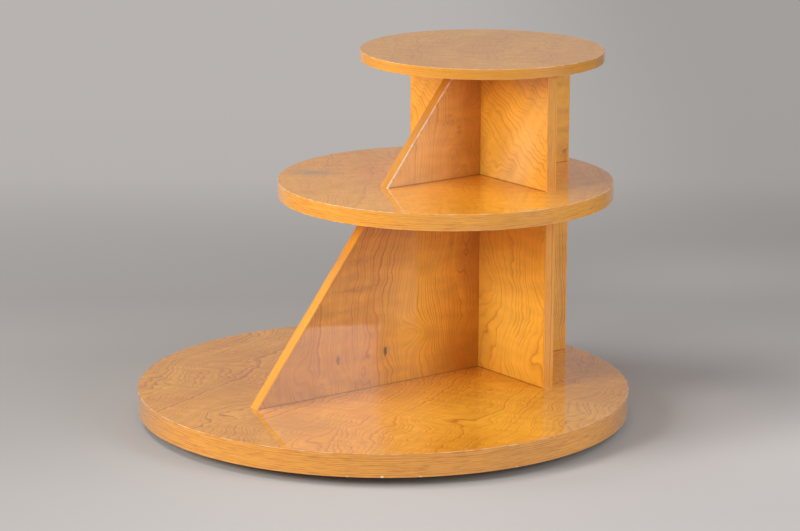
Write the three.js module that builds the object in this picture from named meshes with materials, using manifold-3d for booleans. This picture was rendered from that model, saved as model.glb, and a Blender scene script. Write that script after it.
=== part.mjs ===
// A tiered side table of veneered board. Three round shelves of different size share one tangent line
// at the back, and two storeys of crossed panels carry them: a long panel, whose front end is a fin cut
// to one slope from the base to the top, and a shorter panel halved into it.
// Millimetres, +Z up. The origin is on the floor, under the centre of the base.
// A wing is one of the four arms of the cross: the fin, and the back, left and right wings.
// The fin points to -X, the shared back is at +X, the left side is +Y and the right side -Y.
import * as THREE from "three";
import { mergeVertices } from "three/addons/utils/BufferGeometryUtils.js";
import Module from "manifold-3d";

// Round shelves
const BASE_DIAMETER = 900;
const MIDDLE_DIAMETER = 617;
const TOP_DIAMETER = 450;
const BASE_THICKNESS = 42; // height of the base's rim, board and ring together
const MIDDLE_THICKNESS = 30;
const TOP_THICKNESS = 19;
const LOWER_STOREY = 337; // clear height between the base and the middle shelf
const UPPER_STOREY = 214; // clear height between the middle shelf and the top

// Crossed panels
const PANEL_THICKNESS = 22;
const WING_SETBACK = 22; // from the top shelf's rim to the ends of the three upright wings
const FIN_FOOT_SETBACK = 161; // from the base's front rim to the tip of the fin
const FIN_HEAD_REACH = 58; // from the cross to the fin's edge, under the top shelf
const SLOT_CLEARANCE = 0.15; // each side of a halving slot

// Edges
const BAND_THICKNESS = 2; // bent round a shelf
const ARRIS = 1; // eased corner of a band
const LIPPING_THICKNESS = 3; // on the outer edges of the panels
const GLUE_GAP = 0.3; // behind a band or a sloping lipping, and between ring segments

// Hollow base: a board on a ring of segments that are straight inside, with rails that take the screws
// and the feet
const BASE_BOARD_THICKNESS = 22;
const RING_WIDTH = 80; // at the middle of a segment
const RAIL_WIDTH = 90;
const RAIL_GAP = 0.3; // between a rail's end and the ring

// Feet
const FOOT_HEIGHT = 13;
const FOOT_TOP_DIAMETER = 52;
const FOOT_FLOOR_DIAMETER = 44;
const FOOT_BEAD = 3; // depth of the rounded lower corner
const FOOT_INSET = 35; // from the outer corner of its rail to a foot's centre, along the rail
const PAD_THICKNESS = 3;
const PAD_DIAMETER = 36;

// Dowels
const DOWEL_DIAMETER = 10;
const DOWEL_CHAMFER = 1;
const DOWEL_DEPTH = 30; // in a panel's edge
const TOP_DOWEL_COVER = 7; // wood left above a dowel in the top shelf
const DOWEL_CLEARANCE = 0.3; // round a dowel and past its ends

// Wood screws
const SCREW_CLEARANCE = 0.3; // round a screw, and past its tip
const SCREW_SLOT_WIDTH = 1.2;
const SCREW_SLOT_DEPTH = 1.4;
// sink is the depth of the counterbore in a rail, or in a foot, to the screw's head
const BASE_SCREW = { length: 70, shank: 5.5, head: 10.5, headDepth: 3.4, tip: 8, sink: 8 };
const FOOT_SCREW = { length: 24, shank: 4, head: 7.8, headDepth: 2.4, tip: 5, sink: 1.5 };

// Places, as shares of the run from the crossing panel's face to a wing's end
const FIN_SCREW_SHARES = [0.24, 0.5, 0.76];
const WING_SCREW_SHARE = 0.5;
const DOWEL_SHARE = 0.55;

const SHELF_SIDES = 96;
const FOOT_SIDES = 24;
const BEAD_STEPS = 3;
const PEG_SIDES = 12;
const RING_SEGMENTS = 8;
const OVERRUN = 5; // how far a cutter passes a face that it opens

// Worked out from the sizes above
const baseRadius = BASE_DIAMETER / 2;
const middleRadius = MIDDLE_DIAMETER / 2;
const topRadius = TOP_DIAMETER / 2;
const panelHalf = PANEL_THICKNESS / 2;
const wingReach = topRadius - WING_SETBACK;
const crossX = baseRadius - topRadius; // the top shelf is centred on the cross
const middleX = baseRadius - middleRadius;
const finFootReach = crossX + baseRadius - FIN_FOOT_SETBACK;
const baseUnderside = FOOT_HEIGHT + PAD_THICKNESS;
const baseTop = baseUnderside + BASE_THICKNESS;
const middleUnderside = baseTop + LOWER_STOREY;
const middleTop = middleUnderside + MIDDLE_THICKNESS;
const topUnderside = middleTop + UPPER_STOREY;
const finSlope = (finFootReach - FIN_HEAD_REACH) / (topUnderside - baseTop);
const ringDepth = BASE_THICKNESS - BASE_BOARD_THICKNESS;
const ringInner = baseRadius - BAND_THICKNESS - GLUE_GAP - RING_WIDTH;
const railReach = ringInner - RAIL_GAP;
const railHalf = RAIL_WIDTH / 2;
const segmentTurn = (2 * Math.PI) / RING_SEGMENTS;
const segmentAngles = Array.from({ length: RING_SEGMENTS }, (_, i) => (i + 0.5) * segmentTurn);
const footY = railEndAt(crossX + railHalf) - FOOT_INSET;
const topDowelDepth = TOP_THICKNESS - TOP_DOWEL_COVER;

// Where the inside of the ring ends a rail along Y, at the distance x from the centre line.
function railEndAt(x) {
  const facing = segmentAngles.filter((angle) => angle < Math.PI);
  return Math.min(...facing.map((angle) => (railReach - x * Math.cos(angle)) / Math.sin(angle)));
}

const wasm = await Module();
wasm.setup();

const material = (name, color, roughness, metalness = 0) =>
  new THREE.MeshStandardMaterial({ name, color, roughness, metalness });
const materials = {
  figured: material("figured veneer", 0xc98a45, 0.25),
  edge: material("straight-grained edge wood", 0xcf9145, 0.3),
  softwood: material("softwood", 0xd9b98a, 0.75),
  beech: material("beech", 0xd8b48a, 0.6),
  stained: material("stained hardwood", 0x3a281b, 0.55),
  steel: material("screw steel", 0xa9a49a, 0.35, 1),
  felt: material("felt", 0x4a4640, 0.95),
};

// Solids

// The closed body inside a geometry, as manifold-3d holds it.
function solidOf(geometry) {
  const bare = new THREE.BufferGeometry();
  bare.setAttribute("position", geometry.getAttribute("position").clone());
  bare.setIndex(geometry.index && geometry.index.clone());
  const merged = mergeVertices(bare);
  const vertProperties = merged.getAttribute("position").array;
  const triVerts = new Uint32Array(merged.index.array);
  return new wasm.Manifold(new wasm.Mesh({ numProp: 3, vertProperties, triVerts }));
}

function geometryOf(solid) {
  const { vertProperties, triVerts } = solid.getMesh();
  const geometry = new THREE.BufferGeometry();
  geometry.setAttribute("position", new THREE.BufferAttribute(new Float32Array(vertProperties), 3));
  geometry.setIndex(new THREE.BufferAttribute(new Uint32Array(triVerts), 1));
  geometry.computeVertexNormals();
  return geometry;
}

const cut = (geometry, cutter) => geometryOf(solidOf(geometry).subtract(solidOf(cutter)));
const common = (geometry, other) => geometryOf(solidOf(geometry).intersect(solidOf(other)));
const joined = (geometries) => geometryOf(geometries.map(solidOf).reduce((sum, solid) => sum.add(solid)));

// A body turned about Z from [radius, height] points, which run up the outside.
function turned(points, sides) {
  const profile = points.map(([radius, height]) => new THREE.Vector2(radius, height));
  return new THREE.LatheGeometry(profile, sides).rotateX(Math.PI / 2);
}

const roundPlate = (radius, thickness, sides = SHELF_SIDES) =>
  turned([[0, 0], [radius, 0], [radius, thickness], [0, thickness]], sides);

// An outline of [x, z] points in an upright plane, given a thickness that is centred on Y = 0.
function upright(points, thickness) {
  const shape = new THREE.Shape(points.map(([x, z]) => new THREE.Vector2(x, z)));
  const plate = new THREE.ExtrudeGeometry(shape, { depth: thickness, bevelEnabled: false });
  return plate.translate(0, 0, -thickness / 2).rotateX(Math.PI / 2);
}

// A box with its lowest corner at x, y, z.
const block = (x, y, z, length, width, height) =>
  new THREE.BoxGeometry(length, width, height).translate(x + length / 2, y + width / 2, z + height / 2);

// A straight round hole about Z, between two heights.
const bore = (radius, from, to) => roundPlate(radius, to - from, PEG_SIDES).translate(0, 0, from);

// Dowels and screws. Each body and its hole stand on the plane Z = 0, about Z.

function dowelBody(length) {
  const radius = DOWEL_DIAMETER / 2;
  const end = radius - DOWEL_CHAMFER;
  const outside = [[end, 0], [radius, DOWEL_CHAMFER], [radius, length - DOWEL_CHAMFER], [end, length]];
  return turned([[0, 0], ...outside, [0, length]], PEG_SIDES);
}

const dowelHole = (length) =>
  bore(DOWEL_DIAMETER / 2 + DOWEL_CLEARANCE, -DOWEL_CLEARANCE, length + DOWEL_CLEARANCE);

// A countersunk wood screw that points up from its head, grown all round by a clearance.
function screwShape(screw, grow) {
  const shank = screw.shank / 2 + grow;
  const head = screw.head / 2 + grow;
  const outside = [[head, -grow], [shank, screw.headDepth], [shank, screw.length - screw.tip]];
  return turned([[0, -grow], ...outside, [0, screw.length + grow]], PEG_SIDES);
}

function screwBody(screw) {
  const depth = OVERRUN + SCREW_SLOT_DEPTH;
  const slot = block(-screw.head, -SCREW_SLOT_WIDTH / 2, -OVERRUN, 2 * screw.head, SCREW_SLOT_WIDTH, depth);
  return cut(screwShape(screw, 0), slot);
}

// The hole for a screw whose head lies at the bottom of a counterbore.
function screwHole(screw) {
  const counterbore = bore(screw.head / 2 + SCREW_CLEARANCE, -screw.sink - OVERRUN, 0);
  return joined([screwShape(screw, SCREW_CLEARANCE), counterbore]);
}

// Places on the cross are measured from its axis, and places of feet from the base's centre.

const along = (share, reach) => panelHalf + share * (reach - panelHalf);
const finReachAt = (z) => finFootReach - finSlope * (z - baseTop);
const onFin = (share, reach) => [-along(share, reach), 0];
const onWings = (share) => {
  const place = along(share, wingReach);
  return { back: [place, 0], left: [0, place], right: [0, -place] };
};
const middleDowels = { fin: onFin(DOWEL_SHARE, finReachAt(middleTop)), ...onWings(DOWEL_SHARE) };
const topDowels = { fin: onFin(DOWEL_SHARE, FIN_HEAD_REACH), ...onWings(DOWEL_SHARE) };
const finScrews = FIN_SCREW_SHARES.map((share, i) => [`fin_${i + 1}`, onFin(share, finFootReach)]);
const baseScrews = { ...Object.fromEntries(finScrews), ...onWings(WING_SCREW_SHARE) };
const feet = {
  front_left: [-crossX, footY],
  front_right: [-crossX, -footY],
  back_left: [crossX, footY],
  back_right: [crossX, -footY],
};

// Fasteners, in the table's frame
const fasteners = [];
function fasten(name, places, shiftX, z, body, hole, kind) {
  for (const [where, [x, y]] of Object.entries(places)) {
    fasteners.push({ name: `${name}_${where}`, body, hole, kind, place: [x + shiftX, y, z] });
  }
}
function fastenDowels(name, places, z, length) {
  fasten(name, places, crossX, z, dowelBody(length), dowelHole(length), materials.beech);
}
function fastenScrews(name, places, shiftX, z, screw) {
  fasten(name, places, shiftX, z + screw.sink, screwBody(screw), screwHole(screw), materials.steel);
}
fastenScrews("base_screw", baseScrews, crossX, baseUnderside, BASE_SCREW);
fastenScrews("foot_screw", feet, 0, PAD_THICKNESS, FOOT_SCREW);
fastenDowels("middle_dowel", middleDowels, middleUnderside - DOWEL_DEPTH, MIDDLE_THICKNESS + 2 * DOWEL_DEPTH);
fastenDowels("top_dowel", topDowels, topUnderside - DOWEL_DEPTH, DOWEL_DEPTH + topDowelDepth);
const holes = joined(fasteners.map(({ hole, place }) => hole.clone().translate(...place)));

// The scene

const table = new THREE.Group();

function groupAt(x, z) {
  const group = new THREE.Group();
  group.position.set(x, 0, z);
  table.add(group);
  return group;
}

function add(group, name, geometry, kind, x = 0, y = 0, z = 0, turn = 0) {
  const mesh = new THREE.Mesh(geometry, kind);
  mesh.name = name;
  mesh.position.set(x, y, z);
  mesh.rotation.z = turn;
  group.add(mesh);
}

// A piece with a hole wherever a fastener passes through it.
function addDrilled(group, name, geometry, kind, x = 0, y = 0, z = 0, turn = 0) {
  const from = group.position;
  const holesHere = holes.clone().translate(-from.x - x, -from.y - y, -from.z - z).rotateZ(-turn);
  add(group, name, cut(geometry, holesHere), kind, x, y, z, turn);
}

// Shelves

// A thin band bent round a shelf, with its two outer corners eased.
function edgeBand(radius, height) {
  const inner = radius - BAND_THICKNESS;
  const eased = radius - ARRIS;
  const outside = [[eased, 0], [radius, ARRIS], [radius, height - ARRIS], [eased, height]];
  return turned([[inner, 0], ...outside, [inner, height], [inner, 0]], SHELF_SIDES);
}

const boardRadius = (radius) => radius - BAND_THICKNESS - GLUE_GAP;

function addShelf(name, radius, thickness, x, z) {
  const shelf = groupAt(x, z);
  addDrilled(shelf, `${name}_board`, roundPlate(boardRadius(radius), thickness), materials.figured);
  add(shelf, `${name}_edge_band`, edgeBand(radius, thickness), materials.edge);
}

// Crossed panels

// Horizontal run of a thickness that is measured square to the fin's slope.
const acrossSlope = (thickness) => thickness * Math.hypot(1, finSlope);

// One storey of the cross, in a frame on the cross's axis at the foot of the panels.
function addStorey(name, z, height) {
  const storey = groupAt(crossX, z);
  const footReach = finReachAt(z);
  const headReach = finReachAt(z + height);
  const inset = acrossSlope(LIPPING_THICKNESS + GLUE_GAP);
  const wingEnd = wingReach - LIPPING_THICKNESS;
  const slotHalf = panelHalf + SLOT_CLEARANCE;
  const slotFloor = height / 2;
  const slot = (from, to) =>
    block(-slotHalf, -PANEL_THICKNESS, from, 2 * slotHalf, 2 * PANEL_THICKNESS, to - from);

  const finOutline = [[inset - footReach, 0], [wingEnd, 0], [wingEnd, height], [inset - headReach, height]];
  const finPanel = cut(upright(finOutline, PANEL_THICKNESS), slot(slotFloor, height + OVERRUN));
  addDrilled(storey, `${name}_fin_panel`, finPanel, materials.figured);

  const crossOutline = [[-wingEnd, 0], [wingEnd, 0], [wingEnd, height], [-wingEnd, height]];
  const crossPanel = cut(upright(crossOutline, PANEL_THICKNESS), slot(-OVERRUN, slotFloor + SLOT_CLEARANCE));
  addDrilled(storey, `${name}_cross_panel`, crossPanel, materials.figured, 0, 0, 0, Math.PI / 2);

  const run = acrossSlope(LIPPING_THICKNESS);
  const slope = [[-footReach, 0], [run - footReach, 0], [run - headReach, height], [-headReach, height]];
  add(storey, `${name}_fin_lipping`, upright(slope, PANEL_THICKNESS), materials.edge);
  const lipping = block(0, -panelHalf, 0, LIPPING_THICKNESS, PANEL_THICKNESS, height);
  add(storey, `${name}_back_lipping`, lipping, materials.edge, wingEnd);
  add(storey, `${name}_left_lipping`, lipping, materials.edge, 0, wingEnd, 0, Math.PI / 2);
  add(storey, `${name}_right_lipping`, lipping, materials.edge, 0, -wingEnd, 0, -Math.PI / 2);
}

// Base and feet

// One segment of the ring under the base's board, centred on +X, with half a glue gap at each end.
function ringSegment() {
  const outer = boardRadius(baseRadius);
  const slope = Math.tan(segmentTurn / 2);
  const halfGap = GLUE_GAP / 2 / Math.cos(segmentTurn / 2);
  const corner = (x, side) => new THREE.Vector2(x, side * (slope * x - halfGap));
  const far = 2 * outer;
  const corners = [corner(ringInner, -1), corner(far, -1), corner(far, 1), corner(ringInner, 1)];
  const sector = new THREE.Shape(corners);
  const plank = new THREE.ExtrudeGeometry(sector, { depth: ringDepth, bevelEnabled: false });
  return common(roundPlate(outer, ringDepth), plank);
}

function footBody() {
  const top = FOOT_TOP_DIAMETER / 2;
  const floor = FOOT_FLOOR_DIAMETER / 2;
  const bead = Array.from({ length: BEAD_STEPS + 1 }, (_, i) => {
    const angle = (i / BEAD_STEPS) * (Math.PI / 2);
    return [floor + (top - floor) * Math.sin(angle), FOOT_BEAD * (1 - Math.cos(angle))];
  });
  return turned([[0, 0], ...bead, [top, FOOT_HEIGHT], [0, FOOT_HEIGHT]], FOOT_SIDES);
}

function addBase() {
  const base = groupAt(0, baseUnderside);
  const board = roundPlate(boardRadius(baseRadius), BASE_BOARD_THICKNESS);
  addDrilled(base, "base_top_board", board, materials.figured, 0, 0, ringDepth);
  add(base, "base_edge_band", edgeBand(baseRadius, BASE_THICKNESS), materials.edge);

  const segment = ringSegment();
  segmentAngles.forEach((turn, i) => {
    addDrilled(base, `base_ring_segment_${i + 1}`, segment, materials.softwood, 0, 0, 0, turn);
  });

  const insideRing = roundPlate(railReach / Math.cos(segmentTurn / 2), ringDepth, RING_SEGMENTS);
  const addRail = (name, x, y, length, width) => {
    const rail = common(block(x, y, 0, length, width, ringDepth), insideRing);
    addDrilled(base, `base_rail_${name}`, rail, materials.softwood);
  };
  addRail("long", -baseRadius, -railHalf, BASE_DIAMETER, RAIL_WIDTH);
  const shortLength = baseRadius - railHalf;
  for (const [where, [x, y]] of Object.entries(feet)) {
    addRail(where, x - railHalf, y > 0 ? railHalf : -baseRadius, RAIL_WIDTH, shortLength);
  }
}

function addFeet() {
  const underBase = groupAt(0, 0);
  const body = footBody();
  const pad = roundPlate(PAD_DIAMETER / 2, PAD_THICKNESS, FOOT_SIDES);
  for (const [where, [x, y]] of Object.entries(feet)) {
    addDrilled(underBase, `foot_${where}`, body, materials.stained, x, y, PAD_THICKNESS);
    add(underBase, `foot_pad_${where}`, pad, materials.felt, x, y);
  }
}

addBase();
addFeet();
addStorey("lower", baseTop, LOWER_STOREY);
addShelf("middle", middleRadius, MIDDLE_THICKNESS, middleX, middleUnderside);
addStorey("upper", middleTop, UPPER_STOREY);
addShelf("top", topRadius, TOP_THICKNESS, crossX, topUnderside);
for (const { name, body, kind, place } of fasteners) {
  add(table, name, body, kind, ...place);
}

export default table;
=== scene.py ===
import math

import bpy
from mathutils import Matrix, Vector


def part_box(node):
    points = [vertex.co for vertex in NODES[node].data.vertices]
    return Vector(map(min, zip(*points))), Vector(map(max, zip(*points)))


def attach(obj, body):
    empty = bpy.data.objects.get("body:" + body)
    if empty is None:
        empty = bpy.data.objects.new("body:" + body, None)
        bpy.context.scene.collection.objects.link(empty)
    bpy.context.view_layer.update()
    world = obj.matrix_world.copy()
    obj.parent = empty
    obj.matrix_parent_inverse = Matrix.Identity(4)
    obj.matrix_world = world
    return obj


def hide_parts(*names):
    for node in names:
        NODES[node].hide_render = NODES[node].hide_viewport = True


bl_info = {
    "name": "Tiered Side Table",
    "version": (1, 0, 0),
    "blender": (4, 5, 0),
    "location": "3D View > Sidebar > Side Table",
    "description": "Finishes a tiered side table in figured veneer on its packed solids",
    "category": "Object",
}

# Metres, +Z up. The fin points to -X, the three shelves share a tangent line at +X.
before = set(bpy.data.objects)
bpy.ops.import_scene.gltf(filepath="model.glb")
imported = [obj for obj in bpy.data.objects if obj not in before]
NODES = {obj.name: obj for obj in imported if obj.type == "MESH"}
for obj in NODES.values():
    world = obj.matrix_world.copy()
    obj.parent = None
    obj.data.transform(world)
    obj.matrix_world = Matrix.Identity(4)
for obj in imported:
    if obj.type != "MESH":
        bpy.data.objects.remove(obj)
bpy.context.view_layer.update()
MM = 0.001

SHELVES = ("base", "middle", "top")
STOREYS = ("lower", "upper")
WINGS = ("fin", "back", "left", "right")
BOARDS = {"base": "base_top_board", "middle": "middle_board", "top": "top_board"}
FASTENERS_THROUGH = {"base": "base_screw_", "middle": "middle_dowel_", "top": "top_dowel_"}
CORNERS = ("front_left", "front_right", "back_left", "back_right")

X = Vector((1, 0, 0))
Y = Vector((0, 1, 0))
Z = Vector((0, 0, 1))


def box_of(node):
    low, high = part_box(node)
    return low, high, (low + high) / 2


# Settings


class TableShapes(bpy.types.PropertyGroup):
    shelf_sides: bpy.props.IntProperty(
        name="Shelf sides", description="Facets round a shelf", default=384, min=96, max=768)
    band_arris: bpy.props.FloatProperty(
        name="Band arris", description="Radius of the eased corners of an edge band",
        default=1.0 * MM, unit="LENGTH", precision=5)
    band_thickness: bpy.props.FloatProperty(
        name="Band thickness", description="Thickness of the wood bent round a shelf",
        default=2.0 * MM, unit="LENGTH", precision=5)
    lipping_arris: bpy.props.FloatProperty(
        name="Lipping arris", description="Radius of the eased corners of a lipping",
        default=0.8 * MM, unit="LENGTH", precision=5)
    worn_arris: bpy.props.FloatProperty(
        name="Worn arris", description="Radius of the worn corner of the upper fin",
        default=1.6 * MM, unit="LENGTH", precision=5)
    seam: bpy.props.FloatProperty(
        name="Seam", description="Bevel on each side of a glued seam",
        default=0.12 * MM, unit="LENGTH", precision=5)
    foot_sides: bpy.props.IntProperty(
        name="Foot sides", description="Facets round a turned foot", default=64, min=24, max=128)


class TableFinish(bpy.types.PropertyGroup):
    ground: bpy.props.FloatVectorProperty(
        name="Veneer ground", description="Light wood between the growth lines",
        subtype="COLOR", size=3, default=(0.93, 0.415, 0.033), min=0, max=1)
    shade: bpy.props.FloatVectorProperty(
        name="Veneer shade", description="Darker clouds in the veneer",
        subtype="COLOR", size=3, default=(0.78, 0.305, 0.018), min=0, max=1)
    growth_line: bpy.props.FloatVectorProperty(
        name="Growth line", description="Dark late wood of the growth lines",
        subtype="COLOR", size=3, default=(0.46, 0.122, 0.007), min=0, max=1)
    edge_light: bpy.props.FloatVectorProperty(
        name="Edge wood, light", description="Light grain of the bands and lippings",
        subtype="COLOR", size=3, default=(0.84, 0.360, 0.034), min=0, max=1)
    edge_dark: bpy.props.FloatVectorProperty(
        name="Edge wood, dark", description="Dark grain of the bands and lippings",
        subtype="COLOR", size=3, default=(0.48, 0.145, 0.010), min=0, max=1)
    gloss: bpy.props.FloatProperty(
        name="Lacquer roughness", description="Roughness of the lacquer coat",
        default=0.055, min=0, max=1)


class StudioLook(bpy.types.PropertyGroup):
    floor_tint: bpy.props.FloatVectorProperty(
        name="Floor tint", description="Tint of the pale floor",
        subtype="COLOR", size=3, default=(1.0, 0.945, 0.905), min=0, max=1)
    surroundings: bpy.props.FloatVectorProperty(
        name="Surroundings", description="Colour of the room round the table",
        subtype="COLOR", size=3, default=(0.35, 0.345, 0.34), min=0, max=1)
    room_light: bpy.props.FloatProperty(
        name="Room light", description="Share of the surroundings' colour that lights the table",
        default=0.78, min=0, max=2)
    front_light: bpy.props.FloatProperty(
        name="Front light", description="Power of the lamp that faces the fin", default=95, unit="POWER")
    left_light: bpy.props.FloatProperty(
        name="Left light", description="Power of the low lamp on the left", default=50, unit="POWER")
    high_light: bpy.props.FloatProperty(
        name="High light", description="Power of the high lamp on the left", default=62, unit="POWER")
    near_light: bpy.props.FloatProperty(
        name="Near light", description="Power of the low lamp beside the camera", default=16, unit="POWER")
    side_light: bpy.props.FloatProperty(
        name="Side light", description="Power of the low lamp that shows in the lacquer",
        default=50, unit="POWER")
    right_light: bpy.props.FloatProperty(
        name="Right light", description="Power of the high lamp on the right", default=24, unit="POWER")


def shapes():
    return bpy.context.scene.side_table_shapes


def finish():
    return bpy.context.scene.side_table_finish


def studio():
    return bpy.context.scene.side_table_studio


# Modelling

# Holes in the shelf boards: their radii, and how far they and the bit run on
SCREW_HOLE = 3.05 * MM
DOWEL_HOLE = 5.3 * MM
PAST_TIP = 0.3 * MM
BIT_PAST = 1 * MM
# Between a board and its band
BOARD_GAP = 0.02 * MM
# The feet: the share of the width that the lower end keeps, its rounding, and the screw's bore and sink
FOOT_END_SHARE = 0.9
FOOT_ROUNDING = 2.6 * MM
FOOT_BORE = 2.3 * MM
FOOT_SINK = 4.2 * MM
FOOT_SINK_DEPTH = 3.9 * MM
SMALL_ARRIS = 0.6 * MM


def use_only(obj):
    bpy.ops.object.select_all(action="DESELECT")
    obj.select_set(True)
    bpy.context.view_layer.objects.active = obj


def named(name):
    """The primitive that was just added, under its own name and with its place put in its mesh."""
    obj = bpy.context.active_object
    obj.name = name
    obj.data.name = name
    use_only(obj)
    bpy.ops.object.transform_apply(location=True, rotation=True, scale=True)
    return obj


def in_edit_mode(obj, kind, test, work):
    """Selects the edges or faces that pass a test on their corner points, and works on them in edit mode."""
    use_only(obj)
    bpy.context.tool_settings.mesh_select_mode = (False, kind == "EDGE", kind == "FACE")
    mesh = obj.data
    for part in (mesh.vertices, mesh.edges, mesh.polygons):
        part.foreach_set("select", [False] * len(part))
    chosen = mesh.edges if kind == "EDGE" else mesh.polygons
    found = 0
    for part in chosen:
        if test([mesh.vertices[i].co for i in part.vertices]):
            part.select = True
            found += 1
    if not found:
        raise RuntimeError(f"{obj.name}: nothing to work on")
    bpy.ops.object.mode_set(mode="EDIT")
    work()
    bpy.ops.object.mode_set(mode="OBJECT")


def bevel_edges(obj, test, radius, segments):
    in_edit_mode(obj, "EDGE", test, lambda: bpy.ops.mesh.bevel(
        offset=radius, offset_type="OFFSET", segments=segments, affect="EDGES"))


def apply_modifier(obj, kind, **values):
    use_only(obj)
    bpy.ops.object.modifier_add(type=kind)
    modifier = obj.modifiers[-1]
    for key, value in values.items():
        setattr(modifier, key, value)
    bpy.ops.object.modifier_apply(modifier=modifier.name)


def even_shading(obj):
    use_only(obj)
    bpy.ops.object.shade_smooth_by_angle(angle=math.radians(40))
    apply_modifier(obj, "WEIGHTED_NORMAL", weight=100, keep_sharp=True)


def drill(obj, centre, radius, low, high):
    """A round hole about Z, between two heights."""
    bpy.ops.mesh.primitive_cylinder_add(
        vertices=32, radius=radius, depth=high - low, location=(centre.x, centre.y, (low + high) / 2))
    bit = named("drill_bit")
    apply_modifier(obj, "BOOLEAN", operation="DIFFERENCE", solver="EXACT", object=bit)
    bpy.data.objects.remove(bit)


def near(value, place, slack=1e-5):
    return abs(value - place) < slack


def level(corners, height=None):
    """Whether an edge or face lies level, and at that height if one is given."""
    return all(near(c.z, corners[0].z if height is None else height) for c in corners)


def on_circle(corners, centre, radius, slack=3e-5):
    """Whether an edge lies level on a circle about Z."""
    return level(corners) and all(
        near(math.hypot(c.x - centre.x, c.y - centre.y), radius, slack) for c in corners)


def make_board(shelf):
    """A round board a seam's width inside its band, drilled for the fasteners that pass through it."""
    low, high, centre = box_of(BOARDS[shelf])
    band_low, band_high, band_centre = box_of(shelf + "_edge_band")
    radius = (band_high.x - band_low.x) / 2 - shapes().band_thickness - BOARD_GAP
    bpy.ops.mesh.primitive_cylinder_add(
        vertices=shapes().shelf_sides, radius=radius, depth=high.z - low.z,
        location=(band_centre.x, 0, centre.z))
    board = named(shelf + "_shelf_board")
    bevel_edges(board, lambda corners: on_circle(corners, band_centre, radius, 1e-5), shapes().seam, 1)
    for node in sorted(NODES):
        if node.startswith(FASTENERS_THROUGH[shelf]):
            tip_low, tip_high, tip = box_of(node)
            hole = SCREW_HOLE if shelf == "base" else DOWEL_HOLE
            drill(board, tip, hole, low.z - BIT_PAST, min(tip_high.z + PAST_TIP, high.z + BIT_PAST))
    even_shading(board)
    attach(board, "root")
    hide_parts(BOARDS[shelf])
    return board


def make_band(shelf):
    """Thin wood bent round a shelf, with its outer corners eased."""
    low, high, centre = box_of(shelf + "_edge_band")
    radius = (high.x - low.x) / 2
    bpy.ops.mesh.primitive_cylinder_add(
        vertices=shapes().shelf_sides, radius=radius, depth=high.z - low.z, end_fill_type="NOTHING",
        location=centre)
    band = named(shelf + "_shelf_band")
    apply_modifier(band, "SOLIDIFY", thickness=shapes().band_thickness, offset=-1, use_even_offset=True)
    inner = radius - shapes().band_thickness
    bevel_edges(band, lambda corners: on_circle(corners, centre, radius), shapes().band_arris, 4)
    bevel_edges(band, lambda corners: on_circle(corners, centre, inner), shapes().seam, 1)
    even_shading(band)
    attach(band, "root")
    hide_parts(shelf + "_edge_band")
    return band


def lean_to_slope(lipping, node):
    """Moves the four level edges across a fin's lipping to the places that they have on its sloping solid."""
    low, high, centre = box_of(node)
    for at_top in (True, False):
        ends = [v.co.x for v in NODES[node].data.vertices if (v.co.z > centre.z) == at_top]
        for start, place in ((low.x, min(ends)), (high.x, max(ends))):
            in_edit_mode(
                lipping, "EDGE",
                lambda corners: all(near(c.x, start) and (c.z > centre.z) == at_top for c in corners),
                lambda: bpy.ops.transform.translate(value=(place - start, 0, 0)))


def make_lipping(storey, wing):
    """Wood glued to the outer edge of a panel, as wide as the panel, with its outer corners eased."""
    node = f"{storey}_{wing}_lipping"
    low, high, centre = box_of(node)
    bpy.ops.mesh.primitive_cube_add(size=1, location=centre, scale=high - low)
    lipping = named(f"{storey}_{wing}_edge")
    if wing == "fin":
        lean_to_slope(lipping, node)
    outward = {"fin": -X, "back": X, "left": Y, "right": -Y}[wing]
    side = Y if wing in ("fin", "back") else X
    ends_at = {top: max(v.co.dot(outward) for v in lipping.data.vertices if (v.co.z > centre.z) == top)
               for top in (True, False)}

    def outer_edge(corners, which=None):
        a, b = corners
        runs_up = not near(a.z, b.z)
        outside = all(near(c.dot(outward), ends_at[c.z > centre.z]) for c in corners)
        where = which is None or (a.dot(side) > centre.dot(side)) == which
        return runs_up and outside and where
    if storey == "upper" and wing == "fin":
        bevel_edges(lipping, lambda corners: outer_edge(corners, True), shapes().lipping_arris, 3)
        bevel_edges(lipping, lambda corners: outer_edge(corners, False), shapes().worn_arris, 3)
    else:
        bevel_edges(lipping, outer_edge, shapes().lipping_arris, 3)
    even_shading(lipping)
    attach(lipping, "root")
    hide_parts(node)
    return lipping


def make_foot():
    """One turned foot with a rounded lower corner, drilled for its screw, on the first foot's place."""
    low, high, centre = box_of("foot_front_left")
    bpy.ops.mesh.primitive_cylinder_add(
        vertices=shapes().foot_sides, radius=(high.x - low.x) / 2, depth=high.z - low.z, location=centre)
    foot = named("turned_foot_front_left")
    in_edit_mode(foot, "FACE", lambda corners: level(corners, low.z), lambda: bpy.ops.transform.resize(
        value=(FOOT_END_SHARE, FOOT_END_SHARE, 1), center_override=centre))
    bevel_edges(foot, lambda corners: level(corners, low.z), FOOT_ROUNDING, 5)
    bevel_edges(foot, lambda corners: level(corners, high.z), SMALL_ARRIS, 2)
    drill(foot, centre, FOOT_BORE, low.z - BIT_PAST, high.z + BIT_PAST)
    drill(foot, centre, FOOT_SINK, low.z - BIT_PAST, low.z + FOOT_SINK_DEPTH)
    even_shading(foot)
    return foot


def make_pad():
    low, high, centre = box_of("foot_pad_front_left")
    bpy.ops.mesh.primitive_cylinder_add(
        vertices=shapes().foot_sides, radius=(high.x - low.x) / 2, depth=high.z - low.z, location=centre)
    pad = named("felt_pad_front_left")
    bevel_edges(pad, level, SMALL_ARRIS, 2)
    even_shading(pad)
    return pad


def copy_to(obj, name, shift):
    use_only(obj)
    bpy.ops.object.duplicate()
    bpy.context.active_object.location = shift
    return named(name)


# Finishes


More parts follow.
